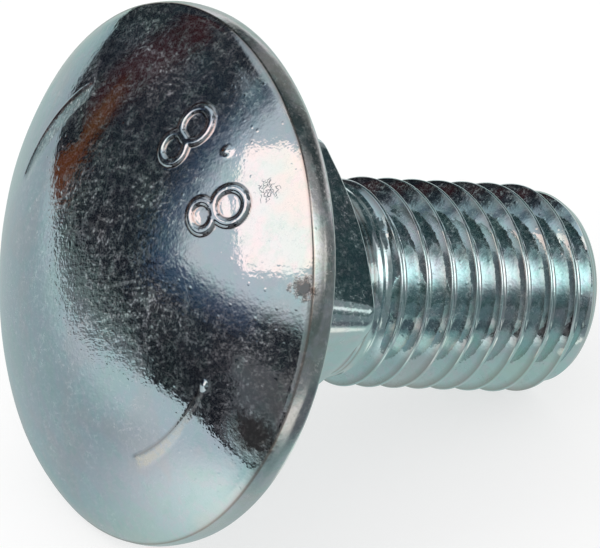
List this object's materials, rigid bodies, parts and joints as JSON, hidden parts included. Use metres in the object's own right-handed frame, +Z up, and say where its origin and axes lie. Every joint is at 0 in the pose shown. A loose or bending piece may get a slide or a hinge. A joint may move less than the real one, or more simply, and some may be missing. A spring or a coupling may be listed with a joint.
{
  "type": "carriage bolt",
  "caption": "Short carriage bolt with a wide domed head, a square neck under it and a threaded shank with a rounded tip, lying as a loose bolt comes to rest.",
  "frame": {"origin": "on the floor, below the middle of the lying bolt's bounding box", "axes": "+Z up; the bolt lies in the XZ plane with its tip towards +X, its axis sloping down to the tip by 21 degrees"},
  "size_m": [0.0333, 0.0304, 0.0288],
  "materials": {
    "zinc_plated_steel": "bright zinc plating over cold-forged steel, satin to semi-bright, with fine scratches and faint blue tints"
  },
  "bodies": {
    "root": {"bolt": "zinc_plated_steel"}
  },
  "joints": []
}
